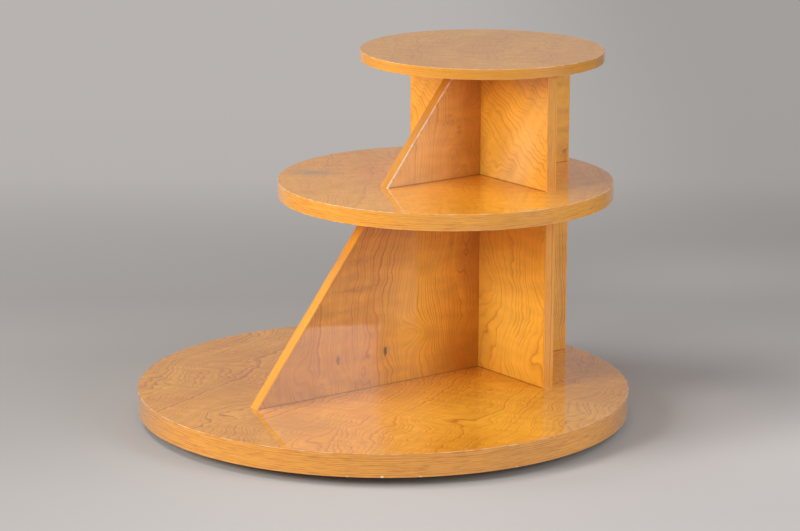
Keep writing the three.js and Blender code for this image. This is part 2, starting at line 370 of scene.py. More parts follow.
class Bench:
    """A material's or group's node tree, with short ways to add and join its nodes."""

    def __init__(self, tree):
        self.tree = tree

    def put(self, socket, value):
        if isinstance(value, bpy.types.NodeSocket):
            self.tree.links.new(value, socket)
        elif value is not None:
            socket.default_value = value

    def fill(self, node, sockets):
        for name, value in sockets.items():
            self.put(node.inputs[name], value)

    def add(self, kind, sockets=None, **settings):
        node = self.tree.nodes.new(kind)
        for name, value in settings.items():
            setattr(node, name, value)
        self.fill(node, sockets or {})
        return node

    def math(self, operation, *values, clamp=False):
        node = self.add("ShaderNodeMath", dict(enumerate(values)), operation=operation, use_clamp=clamp)
        return node.outputs[0]

    def plus(self, first, second, clamp=False):
        return self.math("ADD", first, second, clamp=clamp)

    def minus(self, first, second):
        return self.math("SUBTRACT", first, second)

    def times(self, product, *others):
        for other in others:
            product = self.math("MULTIPLY", product, other)
        return product

    def gap(self, value, place):
        return self.math("ABSOLUTE", self.minus(value, place))

    def vector(self, operation, *values):
        node = self.add("ShaderNodeVectorMath", dict(enumerate(values)), operation=operation)
        return node.outputs["Value" if operation in ("LENGTH", "DISTANCE") else "Vector"]

    def place(self):
        return self.add("ShaderNodeTexCoord").outputs["Object"]

    def parts(self, vector):
        """The X, Y and Z of a vector."""
        return self.add("ShaderNodeSeparateXYZ", {0: vector}).outputs

    def mapped(self, source, location=(0, 0, 0), rotation=(0, 0, 0), scale=(1, 1, 1)):
        return self.add("ShaderNodeMapping", {
            "Vector": source, "Location": location, "Rotation": rotation, "Scale": scale}).outputs[0]

    def noise(self, source, scale, detail=2.0, roughness=0.5, distortion=0.0):
        return self.add("ShaderNodeTexNoise", {
            "Vector": self.mapped(source, scale=scale), "Scale": 1.0, "Detail": detail,
            "Roughness": roughness, "Distortion": distortion}).outputs["Fac"]

    def noise_along(self, value, scale, detail=1.0):
        return self.add("ShaderNodeTexNoise", {"W": value, "Scale": scale, "Detail": detail},
                        noise_dimensions="1D").outputs["Fac"]

    def between(self, value, low, high, to_low=0.0, to_high=1.0, ease="SMOOTHSTEP"):
        return self.add("ShaderNodeMapRange", {
            "Value": value, "From Min": low, "From Max": high, "To Min": to_low, "To Max": to_high},
            interpolation_type=ease).outputs[0]

    def ramp(self, value, stops):
        node = self.add("ShaderNodeValToRGB", {0: value})
        elements = node.color_ramp.elements
        while len(elements) < len(stops):
            elements.new(0.5)
        for element, (place, tone) in zip(elements, stops):
            element.position = place
            element.color = (tone, tone, tone, 1)
        return node.outputs[0]

    def years(self, rings, profile, weakest):
        """Growth lines of one profile, each with a strength of its own."""
        line = self.ramp(self.math("FRACT", rings), profile)
        year = self.add("ShaderNodeTexWhiteNoise", {"W": self.math("FLOOR", rings)}, noise_dimensions="1D")
        return self.times(line, self.between(year.outputs["Value"], 0.0, 1.0, weakest, 1.0))

    def mix(self, amount, first, second, blend="MIX"):
        first, second = (value if isinstance(value, bpy.types.NodeSocket) else (*value, 1)
                         for value in (first, second))
        return self.add("ShaderNodeMix", {0: amount, 6: first, 7: second},
                        data_type="RGBA", blend_type=blend).outputs[2]

    def brightened(self, colour, amount):
        """A colour times a value that is 1 where nothing changes."""
        grey = self.add("ShaderNodeCombineColor", {0: amount, 1: amount, 2: amount})
        return self.mix(1.0, colour, grey.outputs[0], "MULTIPLY")

    def bump(self, height, strength, distance):
        return self.add("ShaderNodeBump", {
            "Height": height, "Strength": strength, "Distance": distance}).outputs[0]


# How dark the wood is across one growth line, as shares of its width and depth
LINE_SHARES = [(0.0, 0.38), (0.10, 0.08), (0.36, 0.0), (0.62, 0.10), (0.80, 0.45), (0.91, 1.0), (1.0, 0.38)]
EDGE_SHARES = [(0.0, 0.25), (0.2, 0.0), (0.6, 0.10), (0.8, 0.45), (0.9, 1.0), (1.0, 0.25)]
BARE_SHARES = [(0.0, 0.0), (0.6, 0.25), (0.92, 1.0), (1.0, 0.0)]

# What bends the growth lines: the group's input, the noise's scale and its detail
BENDS = (("Swirl", (5.5, 3.4, 5.5), 0.0), ("Eddy", (17.0, 12.0, 17.0), 0.6),
         ("Ripple", (22.0, 58.0, 30.0), 0.4), ("Jag", (120.0, 170.0, 150.0), 1.0))


def new_group(name, vectors, numbers, outputs):
    tree = bpy.data.node_groups.new(name, "ShaderNodeTree")
    for labels, way, kind in ((vectors, "INPUT", "Vector"), (numbers, "INPUT", "Float"),
                              (outputs, "OUTPUT", "Float")):
        for label in labels:
            tree.interface.new_socket(label, in_out=way, socket_type="NodeSocket" + kind)
    bench = Bench(tree)
    return bench, bench.add("NodeGroupInput").outputs, bench.add("NodeGroupOutput")


def growth_lines(name):
    """Growth lines of a sliced log: level lines of a height that rises across the grain, bent by swirls."""
    bench, given, made = new_group(
        name, ("Vector", "Start"), ("Spacing", "Swirl", "Eddy", "Ripple", "Jag", "Eyes"),
        ("Line", "Band", "Curl"))
    start = bench.vector("ADD", given["Vector"], given["Start"])
    height = bench.parts(given["Vector"])[0]
    waves = {}
    for label, scale, detail in BENDS:
        waves[label] = bench.minus(bench.noise(start, scale, detail), 0.5)
        height = bench.plus(height, bench.times(waves[label], given[label]))
    rings = bench.math("DIVIDE", bench.plus(height, given["Eyes"]), given["Spacing"])
    rings = bench.plus(rings, bench.times(bench.noise_along(rings, 0.40), 2.2))
    bench.fill(made, {"Line": bench.years(rings, LINE_SHARES, 0.4),
                      "Band": bench.noise_along(rings, 0.30, 1.5), "Curl": waves["Ripple"]})
    return bench.tree


def eye(name):
    """A round place that lifts the growth lines' height, so that they run round it, and a knot's core."""
    bench, given, made = new_group(name, ("Vector", "Centre", "Reach"), ("Lift", "Knot"), ("Lift", "Knot"))
    away = bench.vector("SUBTRACT", given["Vector"], given["Centre"])
    flat = bench.vector("MULTIPLY", bench.vector("DIVIDE", away, given["Reach"]), (1, 1, 0))
    distance = bench.vector("LENGTH", flat)
    hill = bench.math("EXPONENT", bench.times(distance, distance, -1.0))
    rough = bench.minus(bench.noise(given["Vector"], (420, 420, 100)), 0.5)
    core = bench.between(bench.plus(distance, bench.times(rough, 0.5)), 0.12, 0.34, 1.0, 0.0)
    bench.fill(made, {"Lift": bench.times(hill, given["Lift"]), "Knot": bench.times(core, given["Knot"])})
    return bench.tree


def shared(build):
    """A node group that is built once, and named after the function that builds it."""
    return bpy.data.node_groups.get(build.__name__) or build(build.__name__)


def new_material(name):
    material = bpy.data.materials.new(name)
    material.use_nodes = True
    material.node_tree.nodes.clear()
    bench = Bench(material.node_tree)
    shader = bench.add("ShaderNodeBsdfPrincipled")
    bench.add("ShaderNodeOutputMaterial", {"Surface": shader.outputs[0]})
    return material, bench, shader


def grain_place(bench, centre, across, along, into_scale=1.0):
    """Object coordinates turned so that X runs across the grain, Y along it and Z into the wood."""
    turn = Matrix((across, along, across.cross(along)))
    shift = -(turn @ Vector(centre))
    turned = bench.mapped(bench.place(), location=shift, rotation=turn.to_euler("XYZ"))
    return bench.mapped(turned, scale=(1, 1, into_scale))


def lacquer(bench, shader, place, colour, roughness, height):
    """Gloss lacquer over wood: a clear coat with a slight pull, over wood whose pores barely show."""
    pull = bench.noise(place, (95, 70, 12), 1.5)
    bench.fill(shader, {
        "Coat Weight": 1.0, "Coat Roughness": finish().gloss, "Coat IOR": 1.6, "Specular IOR Level": 0.6,
        "Base Color": colour, "Roughness": roughness, "Normal": bench.bump(height, 0.15, 0.2 * MM),
        "Coat Normal": bench.bump(pull, 0.07, 0.25 * MM)})


# Tones, smudges and marks, with painted light and shade among the tones
# Painted sheen: a pale haze on the upper fin's left end and at the foot of the upper wing
PAINTED_PALE_HAZE = (0.95, 0.56, 0.20)
BROWNED = (0.36, 0.14, 0.025)
GREYED = (0.26, 0.23, 0.18)
# A deep red: the ring round a knot, and painted shade near the corners where fin and wing meet
KNOT_RED_AND_PAINTED_SHADE = (0.55, 0.17, 0.008)
# Painted light: a warm lighter tone for pools of light on the base and the fins
PAINTED_LIGHT_TONE = (1.0, 0.50, 0.045)
# Painted shade: a darker tone for shaded places on the base and the lower fin
PAINTED_SHADE_TONE = (0.60, 0.25, 0.03)
# Painted light: a pale pool at the base's right front
PAINTED_PALE_LIGHT = (1.0, 0.47, 0.06)
# Painted light: a golden lighter tone on the wings
PAINTED_GOLDEN_LIGHT = (1.0, 0.57, 0.08)
# Pale wear on the arrises; on the upper fin's lipping it also stands for a painted arris highlight
WORN_AND_HIGHLIGHT = (0.85, 0.60, 0.38)
CHIPPED = (0.93, 0.76, 0.54)
SCUFFED = (0.90, 0.62, 0.38)
KNOT_CORE = (0.075, 0.032, 0.012)
# Dark joints to the shelves, with painted contact shade
JOINT_AND_CONTACT_SHADE = (0.30, 0.095, 0.012)

# Looks of the veneered faces. An eye, a patch of painted light, a patch of painted shade, or a smudge starts
# with its right share and up share of the half sizes, and its reach across and along the grain in mm. An eye
# ends with the growth lines round it and the strength of its knot, and a patch or smudge with its strength
# and colour.
BOARD_LOOKS = {
    "base": dict(
        lean=58, start=(3.1, 1.7, 0.0), spacing=9.5 * MM, swirl=0.13, eddy=0.055, ripple=0.014, jag=0.0022,
        line=1.0, least=0.8, mottle=0.12, warmth=0.25, banding=0.14, depth=0.92, eye_shares=(
            (-0.14, -0.54, 70, 46, 5, 0), (-0.41, 0.71, 50, 40, 4, 0), (-0.75, 0.05, 40, 60, 3, 0),
            (0.20, -0.86, 60, 40, 3, 0), (-0.80, -0.20, 40, 30, 5, 0)),
        # Painted light and shade: a lighter pool on the front half, shade at the front left, a pale pool at
        # the right front and a shadow behind the right wing
        painted_light_and_shade=(
            (0.10, -0.50, 190, 190, 0.9, PAINTED_LIGHT_TONE), (-0.62, -0.29, 60, 60, 0.9, PAINTED_SHADE_TONE),
            (0.40, -0.80, 100, 60, 1.0, PAINTED_PALE_LIGHT), (0.83, -0.26, 80, 70, 0.6, PAINTED_SHADE_TONE))),
    "middle": dict(
        lean=40, start=(7.4, 2.2, 0.5), spacing=11 * MM, swirl=0.11, eddy=0.06, ripple=0.016, line=0.5,
        mottle=0.2, warmth=0.15, banding=0.14, depth=1.05, smudge_shares=(
            (-0.54, 0.60, 36, 20, 0.9, GREYED), (0.50, -0.67, 7, 10, 0.35, SCUFFED))),
    "top": dict(
        lean=50, start=(1.2, 8.6, 0.9), spacing=9 * MM, swirl=0.12, eddy=0.06, ripple=0.016, line=0.65,
        mottle=0.2, warmth=0.35, banding=0.12, depth=1.03),
}
PANEL_LOOKS = {
    "lower_fin_panel": dict(
        start=(2.3, 0.4, 0.0), spacing=7 * MM, swirl=0.09, eddy=0.042, ripple=0.009, jag=0.001, warmth=0.28,
        mottle=0.20, banding=0.28, line=0.96, least=0.6, depth=0.91, painted_light_and_shade=(
            # Painted shade near the corner with the wing and at the left foot, and painted light in the
            # middle and behind the cross
            (0.28, -0.80, 60, 65, 0.85, KNOT_RED_AND_PAINTED_SHADE), (0.42, 0.2, 30, 110, 0.5, KNOT_RED_AND_PAINTED_SHADE),
            (-0.05, -0.20, 70, 150, 0.8, PAINTED_LIGHT_TONE), (0.78, 0.0, 70, 400, 0.8, PAINTED_LIGHT_TONE),
            (-0.85, -0.75, 110, 110, 0.6, PAINTED_SHADE_TONE)), eye_shares=(
            (-0.79, -0.72, 30, 62, 6, 0), (-0.509, -0.623, 17, 33, 2, 0.75), (-0.208, -0.623, 16, 35, 2, 1),
            (-0.357, -0.82, 14, 34, 5, 0), (-0.006, -0.48, 34, 22, -4, 0), (0.26, 0.38, 15, 55, 4, 0),
            (0.276, -0.60, 26, 45, 4, 0), (-0.62, -0.95, 12, 26, 4, 0)),
        smudge_shares=(
            (-0.393, 0.12, 46, 7, 0.6, BROWNED), (-0.378, 0.43, 32, 8, 0.45, BROWNED),
            (-0.46, -0.10, 40, 5, 0.35, BROWNED), (-0.051, 0.475, 2, 2, 0.8, BROWNED),
            (0.22, 0.46, 6, 14, 0.4, BROWNED), (0.31, 0.12, 4, 26, 0.4, BROWNED),
            (-0.243, -0.335, 1.0, 10, 0.9, SCUFFED), (-0.114, -0.674, 7, 1, 0.7, SCUFFED))),
    "lower_cross_panel": dict(
        start=(5.1, 6.2, 0.0), spacing=14 * MM, swirl=0.12, eddy=0.07, ripple=0.016, jag=0.003, line=0.62,
        mottle=0.15, banding=0.15, warmth=-0.3, depth=1.06,
        # Painted light: a golden pool in the middle of the right wing
        painted_light_and_shade=((0.5, -0.2, 120, 140, 0.9, PAINTED_GOLDEN_LIGHT),), eye_shares=(
            (0.96, 0.34, 28, 70, 3, 0), (0.66, -0.74, 50, 42, 3, 0), (0.30, -0.10, 30, 60, -2, 0))),
    "upper_fin_panel": dict(
        start=(9.6, 4.4, 0.0), spacing=8 * MM, swirl=0.13, eddy=0.06, ripple=0.008, jag=0.001, warmth=0.30,
        mottle=0.35, banding=0.28, line=0.55, least=0.4, depth=0.92, painted_light_and_shade=(
            # Painted light behind the cross, painted shade near the corner with the wing, and a painted pale
            # haze at the left end
            (0.80, 0.0, 50, 300, 0.7, PAINTED_LIGHT_TONE), (-0.13, 0.0, 40, 130, 0.75, KNOT_RED_AND_PAINTED_SHADE),
            (-0.75, -0.35, 110, 200, 0.9, PAINTED_PALE_HAZE)), eye_shares=(
            (-0.36, -0.72, 26, 66, 5, 0), (-0.1, 0.1, 20, 20, 3, 0), (0.957, -0.80, 14, 16, 1, 0.45)),
        smudge_shares=(
            (-0.35, 0.10, 9, 3, 0.7, BROWNED), (-0.24, -0.11, 5, 3, 0.7, BROWNED),
            (-0.24, -0.20, 6, 3, 0.6, BROWNED), (-0.32, 0.0, 30, 7, 0.35, BROWNED),
            (0.957, -0.80, 16, 16, 0.6, KNOT_RED_AND_PAINTED_SHADE), (0.95, 0.62, 40, 4, 0.35, BROWNED),
            (0.95, 0.40, 40, 5, 0.25, BROWNED), (0.95, -0.08, 40, 6, 0.3, BROWNED),
            (0.95, -0.42, 40, 5, 0.35, BROWNED))),
    "upper_cross_panel": dict(
        lean=-58, start=(4.7, 9.1, 0.0), spacing=11 * MM, swirl=0.08, eddy=0.04, ripple=0.019, jag=0.001,
        line=0.60, mottle=0.12, banding=0.10, warmth=-0.35, depth=0.96,
        eye_shares=((0.1, -0.9, 60, 60, 4, 0),),
        # Painted haze and golden light towards the foot of the right wing
        painted_light_and_shade=((0.5, -0.9, 120, 45, 1.0, PAINTED_PALE_HAZE), (0.1, -0.9, 160, 80, 0.5, PAINTED_GOLDEN_LIGHT))),
}

# Looks of the edge bands, and the light that each loses at its right end, as the camera sees it
BAND_LOOKS = {
    "base": dict(
        start=0.0, spacing=3.6 * MM, contrast=0.90, streaks=0.50, browned=0.14, depth=1.04, worn=0.6),
    "middle": dict(
        start=1.9, spacing=3.8 * MM, contrast=0.55, streaks=0.45, browned=0.0, depth=1.06, worn=0.85),
    "top": dict(
        start=4.3, spacing=3.8 * MM, contrast=0.36, streaks=0.22, browned=0.12, depth=1.05, worn=0.6),
}
RIGHT_END = Vector((0.797, -0.604, 0))
RIGHT_END_BEYOND = 0.12
RIGHT_END_LOSS = {"base": 0.14, "middle": 0.04, "top": 0.26}
BASE_LEFT_END, BASE_LEFT_LOSS = (-0.36, 0.27), 0.34

# Chips in the base band: an angle round the rim in degrees, and mm above the lower arris and wide
CHIPS = ((-127.0, 1.6, 3.2), (-134.6, 0.5, 2.4), (-118.6, 0.3, 2.8), (-96.0, 0.8, 2.2))

# The brown seam along the worn side of the upper fin's lipping, where a pale strip is wear and painted
# highlight
WORN_SEAM = 4.8 * MM


class Face:
    """A veneered face seen square on: its middle, the directions to its right and up, and its half sizes."""

    def __init__(self, middle, right, up, half_width, half_height):
        self.middle = Vector(middle)
        self.right, self.up = right, up
        self.half_width, self.half_height = half_width, half_height

    def turned(self, angle):
        """The directions across and along a grain that leans to the right by an angle in degrees."""
        lean = math.radians(angle)
        along = self.up * math.cos(lean) + self.right * math.sin(lean)
        return self.right * math.cos(lean) - self.up * math.sin(lean), along

    def place(self, across, along, right_share, up_share):
        """Where shares of the half sizes lie, counted across and along the grain."""
        way = self.right * (self.half_width * right_share) + self.up * (self.half_height * up_share)
        return way.dot(across), way.dot(along), 0


def figured_veneer(name, face, start, spacing, swirl, eddy, ripple, line, mottle, banding, warmth, depth,
                   lean=0.0, jag=0.003, least=0.35, eye_shares=(), painted_light_and_shade=(), smudge_shares=(),
                   joint_heights=()):
    """Honey-coloured veneer with swirling growth lines, under gloss lacquer, with patches of painted light
    and shade and a painted sheen along the curl.
    """
    material, bench, shader = new_material(name)
    across, along = face.turned(lean)
    place = grain_place(bench, face.middle, across, along, 8.0)

    def eye_at(right_share, up_share, reach_across, reach_along, lift, knot=0.0):
        return bench.add("ShaderNodeGroup", {
            "Vector": place, "Centre": face.place(across, along, right_share, up_share),
            "Reach": (reach_across * MM, reach_along * MM, 1), "Lift": lift, "Knot": knot},
            node_tree=shared(eye)).outputs
    lift, knots = None, None
    for *where, rings, knot in eye_shares:
        made = eye_at(*where, rings * spacing, knot)
        lift = made["Lift"] if lift is None else bench.plus(lift, made["Lift"])
        knots = made["Knot"] if knots is None else bench.math("MAXIMUM", knots, made["Knot"])
    lines = bench.add("ShaderNodeGroup", {
        "Vector": place, "Start": start, "Spacing": spacing, "Swirl": swirl, "Eddy": eddy,
        "Ripple": ripple, "Jag": jag, "Eyes": lift}, node_tree=shared(growth_lines)).outputs
    moved = bench.vector("ADD", place, start)
    cloud = bench.noise(moved, (9, 6, 9), 3.0, 0.55)
    patches = bench.noise(moved, (52, 105, 52), 2.5, 0.62, 0.6)
    fibre = bench.noise(moved, (1100, 28, 300), 2.0, 0.6)
    pores = bench.between(bench.noise(moved, (1700, 110, 500), 1.0), 0.60, 0.72)
    bands = bench.between(lines["Band"], 0.34, 0.66, warmth - banding, warmth + banding)
    tone = bench.plus(bench.between(cloud, 0.30, 0.72, 0.15, 0.80),
                      bench.between(patches, 0.38, 0.72, -mottle, mottle))
    colour = bench.mix(bench.plus(tone, bands, clamp=True), finish().ground, finish().shade)
    # Painted light and shade: patches that lighten and darken the wood where light falls and where it is
    # blocked
    for *where, strong, tint in painted_light_and_shade:
        colour = bench.mix(eye_at(*where, strong)["Lift"], colour, tint)
    patchy = bench.between(bench.noise(moved, (13, 10, 13)), 0.34, 0.60, least, 1.0)
    colour = bench.mix(bench.times(lines["Line"], patchy, line), colour, finish().growth_line)
    # Painted sheen: the curl's ripple lightens and darkens the wood in bands, as light does on curly grain
    curl_sheen = bench.times(lines["Curl"], 0.30)
    grain = bench.times(bench.minus(fibre, 0.5), 0.14)
    light = bench.plus(bench.plus(curl_sheen, grain), depth)
    colour = bench.brightened(colour, bench.minus(light, bench.times(pores, 0.06)))
    for *where, strong, tint in smudge_shares:
        broken = bench.between(bench.noise(place, (160, 160, 20), 3.0, 0.6), 0.35, 0.62, 0.3, 1.0)
        colour = bench.mix(bench.times(eye_at(*where, strong)["Lift"], broken), colour, tint)
    if knots is not None:
        colour = bench.mix(knots, colour, KNOT_CORE)
    # A dark line along each joint with a shelf: the joint itself and painted contact shade
    for joint in joint_heights:
        gap = bench.gap(bench.parts(bench.place())[2], joint)
        colour = bench.mix(bench.between(gap, 0.6 * MM, 2.2 * MM, 0.8, 0.0), colour, JOINT_AND_CONTACT_SHADE)
    height = bench.plus(fibre, bench.times(lines["Line"], -0.6))
    lacquer(bench, shader, place, colour, bench.between(fibre, 0.3, 0.7, 0.38, 0.50), height)
    return material


def edge_wood(name, grain_scale, centre, across, along, spacing, wander, contrast, depth, start,
              streaks=0.28, browned=0.0, worn=0.0, pale_ends=(), dark_places=(), chips=(), worn_and_highlight_side=None):
    """Straight-grained wood of the bands and lippings, under the same lacquer."""
    material, bench, shader = new_material(name)
    point = bench.place()
    place = bench.vector("ADD", grain_place(bench, centre, across, along), (start, start * 0.7, 0))
    _, b, c = grain_scale
    drift = bench.minus(bench.noise(place, grain_scale), 0.5)
    height = bench.plus(bench.parts(place)[0], bench.times(drift, wander))
    rings = bench.math("DIVIDE", height, spacing)
    rings = bench.plus(rings, bench.noise_along(rings, 0.6))
    fibre = bench.noise(place, (900, b * 3, c * 3), 2.0, 0.6)
    dashes = bench.between(bench.noise(place, (700, b * 6, c * 6), 2.0, 0.6), 0.48, 0.66)
    tone = bench.plus(bench.times(bench.years(rings, EDGE_SHARES, 0.3), contrast),
                      bench.times(bench.minus(fibre, 0.45), 0.55), clamp=True)
    tone = bench.plus(bench.plus(tone, bench.times(dashes, streaks)), browned, clamp=True)
    colour = bench.mix(tone, finish().edge_light, finish().edge_dark)
    cloud = bench.minus(bench.noise(place, (14, b, c)), 0.5)
    light = bench.plus(bench.times(cloud, 0.22), depth)
    # Darker round given places: painted shade at the right ends of the bands, and a darker left end of the
    # base band
    for dark_place, loss in dark_places:
        away = bench.vector("DISTANCE", point, dark_place)
        light = bench.minus(light, bench.between(away, 0.05, 0.40, loss, 0.0))
    colour = bench.brightened(colour, light)
    for end in pale_ends:
        rubbed = bench.between(bench.noise(point, (60, 60, 60), 3.0, 0.6), 0.40, 0.62, 0.1 * worn, worn)
        wear = bench.between(bench.gap(bench.parts(point)[2], end), 0.3 * MM, 1.6 * MM, 1.0, 0.0)
        colour = bench.mix(bench.times(wear, rubbed), colour, WORN_AND_HIGHLIGHT)
    for chip, reach in chips:
        away = bench.vector("DISTANCE", point, chip)
        colour = bench.mix(bench.between(away, reach * 0.6, reach, 0.9, 0.0), colour, CHIPPED)
    # A pale strip along the worn side of the upper fin's lipping: wear, and a painted highlight on its arris
    if worn_and_highlight_side is not None:
        inward = bench.minus(bench.parts(point)[1], worn_and_highlight_side)
        seam = bench.between(bench.gap(inward, WORN_SEAM), 0.4 * MM, 1.4 * MM, 0.55, 0.0)
        rubbed = bench.between(bench.noise(place, (90, 60, 60), 3.0, 0.6), 0.36, 0.56, 0.3, 0.8)
        wear = bench.between(inward, 2.2 * MM, 3.6 * MM, 1.0, 0.0)
        colour = bench.mix(bench.times(wear, rubbed), bench.mix(seam, colour, BROWNED), WORN_AND_HIGHLIGHT)
    lacquer(bench, shader, place, colour, bench.between(fibre, 0.3, 0.7, 0.36, 0.48), fibre)
    return material


def bare_wood(name, light, dark, centre, across, along, roughness=0.7):
    """Unfinished or plainly stained wood inside and under the table."""
    material, bench, shader = new_material(name)
    place = grain_place(bench, centre, across, along)
    rings = bench.plus(bench.times(bench.parts(place)[0], 260.0),
                       bench.times(bench.noise(place, (30, 4, 30)), 7.0))
    edge = bench.ramp(bench.math("FRACT", rings), BARE_SHARES)
    fibre = bench.noise(place, (900, 30, 900), 2.0, 0.6)
    tone = bench.plus(bench.times(edge, 0.6), bench.times(fibre, 0.4))
    bench.fill(shader, {
        "Base Color": bench.mix(tone, light, dark), "Specular IOR Level": 0.4,
        "Roughness": bench.between(fibre, 0.3, 0.7, roughness - 0.08, roughness + 0.08),
        "Normal": bench.bump(fibre, 0.4, 0.3 * MM)})
    return material


def felt(name):
    material, bench, shader = new_material(name)
    fuzz = bench.noise(bench.place(), (2600, 2600, 2600), 3.0, 0.7)
    wisps = bench.noise(bench.place(), (500, 900, 700), 3.0, 0.6, 1.2)
    tone = bench.plus(bench.times(fuzz, 0.6), bench.times(wisps, 0.4))
    bench.fill(shader, {
        "Base Color": bench.mix(tone, (0.03, 0.027, 0.025), (0.10, 0.09, 0.08)),
        "Roughness": bench.between(wisps, 0.3, 0.7, 0.88, 0.98),
        "Normal": bench.bump(fuzz, 0.8, 0.4 * MM), "Sheen Weight": 0.4, "Sheen Roughness": 0.6})
    return material


def screw_steel(name):
    material, bench, shader = new_material(name)
    turned = bench.noise(bench.place(), (300, 300, 5200), 2.0, 0.6)
    tarnish = bench.between(bench.noise(bench.place(), (180, 180, 180), 3.0, 0.6), 0.4, 0.7)
    bench.fill(shader, {
        "Base Color": bench.mix(tarnish, (0.52, 0.50, 0.47), (0.30, 0.27, 0.23)), "Metallic": 1.0,
        "Roughness": bench.between(turned, 0.3, 0.7, 0.30, 0.48),
        "Normal": bench.bump(turned, 0.3, 0.1 * MM)})
    return material


def dress(obj, material):
    if obj.data.materials:
        for slot in obj.material_slots:
            slot.material = material
    else:
        obj.data.materials.append(material)


# Operators


class TABLE_OT_boards(bpy.types.Operator):
    """Builds the three round boards and veneers them"""
    bl_idname = "side_table.boards"
    bl_label = "Shelf Boards"

    def execute(self, context):
        for shelf in SHELVES:
            board = make_board(shelf)
            low, high, middle = box_of(shelf + "_edge_band")
            radius = (high.x - low.x) / 2
            face = Face((middle.x, 0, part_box(BOARDS[shelf])[1].z), X, Y, radius, radius)
            dress(board, figured_veneer(shelf + " veneer", face, **BOARD_LOOKS[shelf]))
        return {"FINISHED"}


class TABLE_OT_bands(bpy.types.Operator):
    """Bends the straight-grained edge bands round the three shelves"""
    bl_idname = "side_table.bands"
    bl_label = "Edge Bands"

    def chips(self, low, high):
        """Places on the rim, and half widths, of the chips in its lower arris."""
        radius, middle = (high.x - low.x) / 2, (high.x + low.x) / 2
        return [((middle + radius * math.cos(math.radians(angle)), radius * math.sin(math.radians(angle)),
                  low.z + up * MM), width * MM) for angle, up, width in CHIPS]

    def execute(self, context):
        for shelf in SHELVES:
            band = make_band(shelf)
            low, high, centre = box_of(shelf + "_edge_band")
            reach = (high.x - low.x) / 2 + RIGHT_END_BEYOND
            dark_places = [(Vector((centre.x, 0, centre.z)) + reach * RIGHT_END, RIGHT_END_LOSS[shelf])]
            chips = ()
            if shelf == "base":
                dark_places.append(((*BASE_LEFT_END, centre.z), BASE_LEFT_LOSS))
                chips = self.chips(low, high)
            dress(band, edge_wood(
                shelf + " band", (26, 5, 5), centre, Z, X, wander=7 * MM, pale_ends=(low.z, high.z),
                dark_places=dark_places, chips=chips, **BAND_LOOKS[shelf]))
        return {"FINISHED"}


class TABLE_OT_panels(bpy.types.Operator):
    """Veneers the crossed panels of both storeys"""
    bl_idname = "side_table.panels"
    bl_label = "Crossed Panels"

    def execute(self, context):
        for node, look in PANEL_LOOKS.items():
            low, high, middle = box_of(node)
            right, half_width = (X, (high.x - low.x) / 2) if "fin" in node else (-Y, (high.y - low.y) / 2)
            face = Face(middle, right, Z, half_width, (high.z - low.z) / 2)
            dress(NODES[node], figured_veneer(node.replace("_", " "), face,
                                              joint_heights=(low.z, high.z), **look))
        return {"FINISHED"}


class TABLE_OT_lippings(bpy.types.Operator):
    """Glues an eased lipping to each outer edge of the panels"""
    bl_idname = "side_table.lippings"
    bl_label = "Lippings"

    def slope(self, lipping, centre):
        """The direction up the outer face of a fin's lipping."""
        ends = [v.co for v in lipping.data.vertices]
        top, foot = (min((v for v in ends if (v.z > centre.z) == at_top), key=lambda v: v.x)
                     for at_top in (True, False))
        return Vector((top.x - foot.x, 0, top.z - foot.z)).normalized()

    def execute(self, context):
        for s, storey in enumerate(STOREYS):
            for w, wing in enumerate(WINGS):
                lipping = make_lipping(storey, wing)
                low, high, centre = box_of(f"{storey}_{wing}_lipping")
                across, along, contrast, depth = Y if wing in ("fin", "back") else X, Z, 0.6, 1.07
                if wing == "fin":
                    along = self.slope(lipping, centre)
                    contrast, depth = 0.85, {"lower": 1.0, "upper": 0.81}[storey]
                dress(lipping, edge_wood(
                    f"{storey} {wing} lipping", (40, 5, 40), centre, across, along, spacing=4.0 * MM,
                    wander=6 * MM, contrast=contrast, depth=depth, start=1.3 * s + 0.37 * w,
                    worn_and_highlight_side=low.y if (storey, wing) == ("upper", "fin") else None))
        return {"FINISHED"}


class TABLE_OT_feet(bpy.types.Operator):
    """Turns the four feet, drilled for their screws, with their felt pads"""
    bl_idname = "side_table.feet"
    bl_label = "Feet"

    def execute(self, context):
        foot, pad = make_foot(), make_pad()
        first = box_of("foot_front_left")[2]
        stain = bare_wood("stained hardwood", (0.075, 0.043, 0.026), (0.03, 0.017, 0.011), first, X, Y, 0.42)
        soft = felt("felt")
        for corner in CORNERS:
            shift = box_of("foot_" + corner)[2] - first
            for piece, name, node, slot, material in (
                    (foot, "turned_foot_", "foot_", "stained_hardwood", stain),
                    (pad, "felt_pad_", "foot_pad_", "felt", soft)):
                if corner != CORNERS[0]:
                    piece = copy_to(piece, name + corner, shift)
                dress(piece, material)
                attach(piece, "root")
                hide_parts(node + corner)
        return {"FINISHED"}


class TABLE_OT_inner_parts(bpy.types.Operator):
    """Finishes the frame under the base, the dowels and the screws"""
    bl_idname = "side_table.inner_parts"
    bl_label = "Frame, Dowels and Screws"

    def execute(self, context):
        pine = ((0.66, 0.47, 0.26), (0.50, 0.31, 0.15))
        beech = ((0.64, 0.43, 0.25), (0.54, 0.33, 0.18))
        steel = screw_steel("screw steel")
        for node, obj in NODES.items():
            low, high, centre = box_of(node)
            name = node.replace("_", " ")
            if node.startswith("base_ring_segment"):
                outward = Vector((centre.x, centre.y, 0)).normalized()
                dress(obj, bare_wood(name, *pine, centre, outward, Z.cross(outward)))
            elif node.startswith("base_rail"):
                lengthwise = high.x - low.x > high.y - low.y
                dress(obj, bare_wood(name, *pine, centre, *((Y, X) if lengthwise else (-X, Y))))
            elif "dowel" in node:
                dress(obj, bare_wood(name, *beech, centre, X, Z, 0.6))
            elif "screw" in node:
                dress(obj, steel)
        return {"FINISHED"}


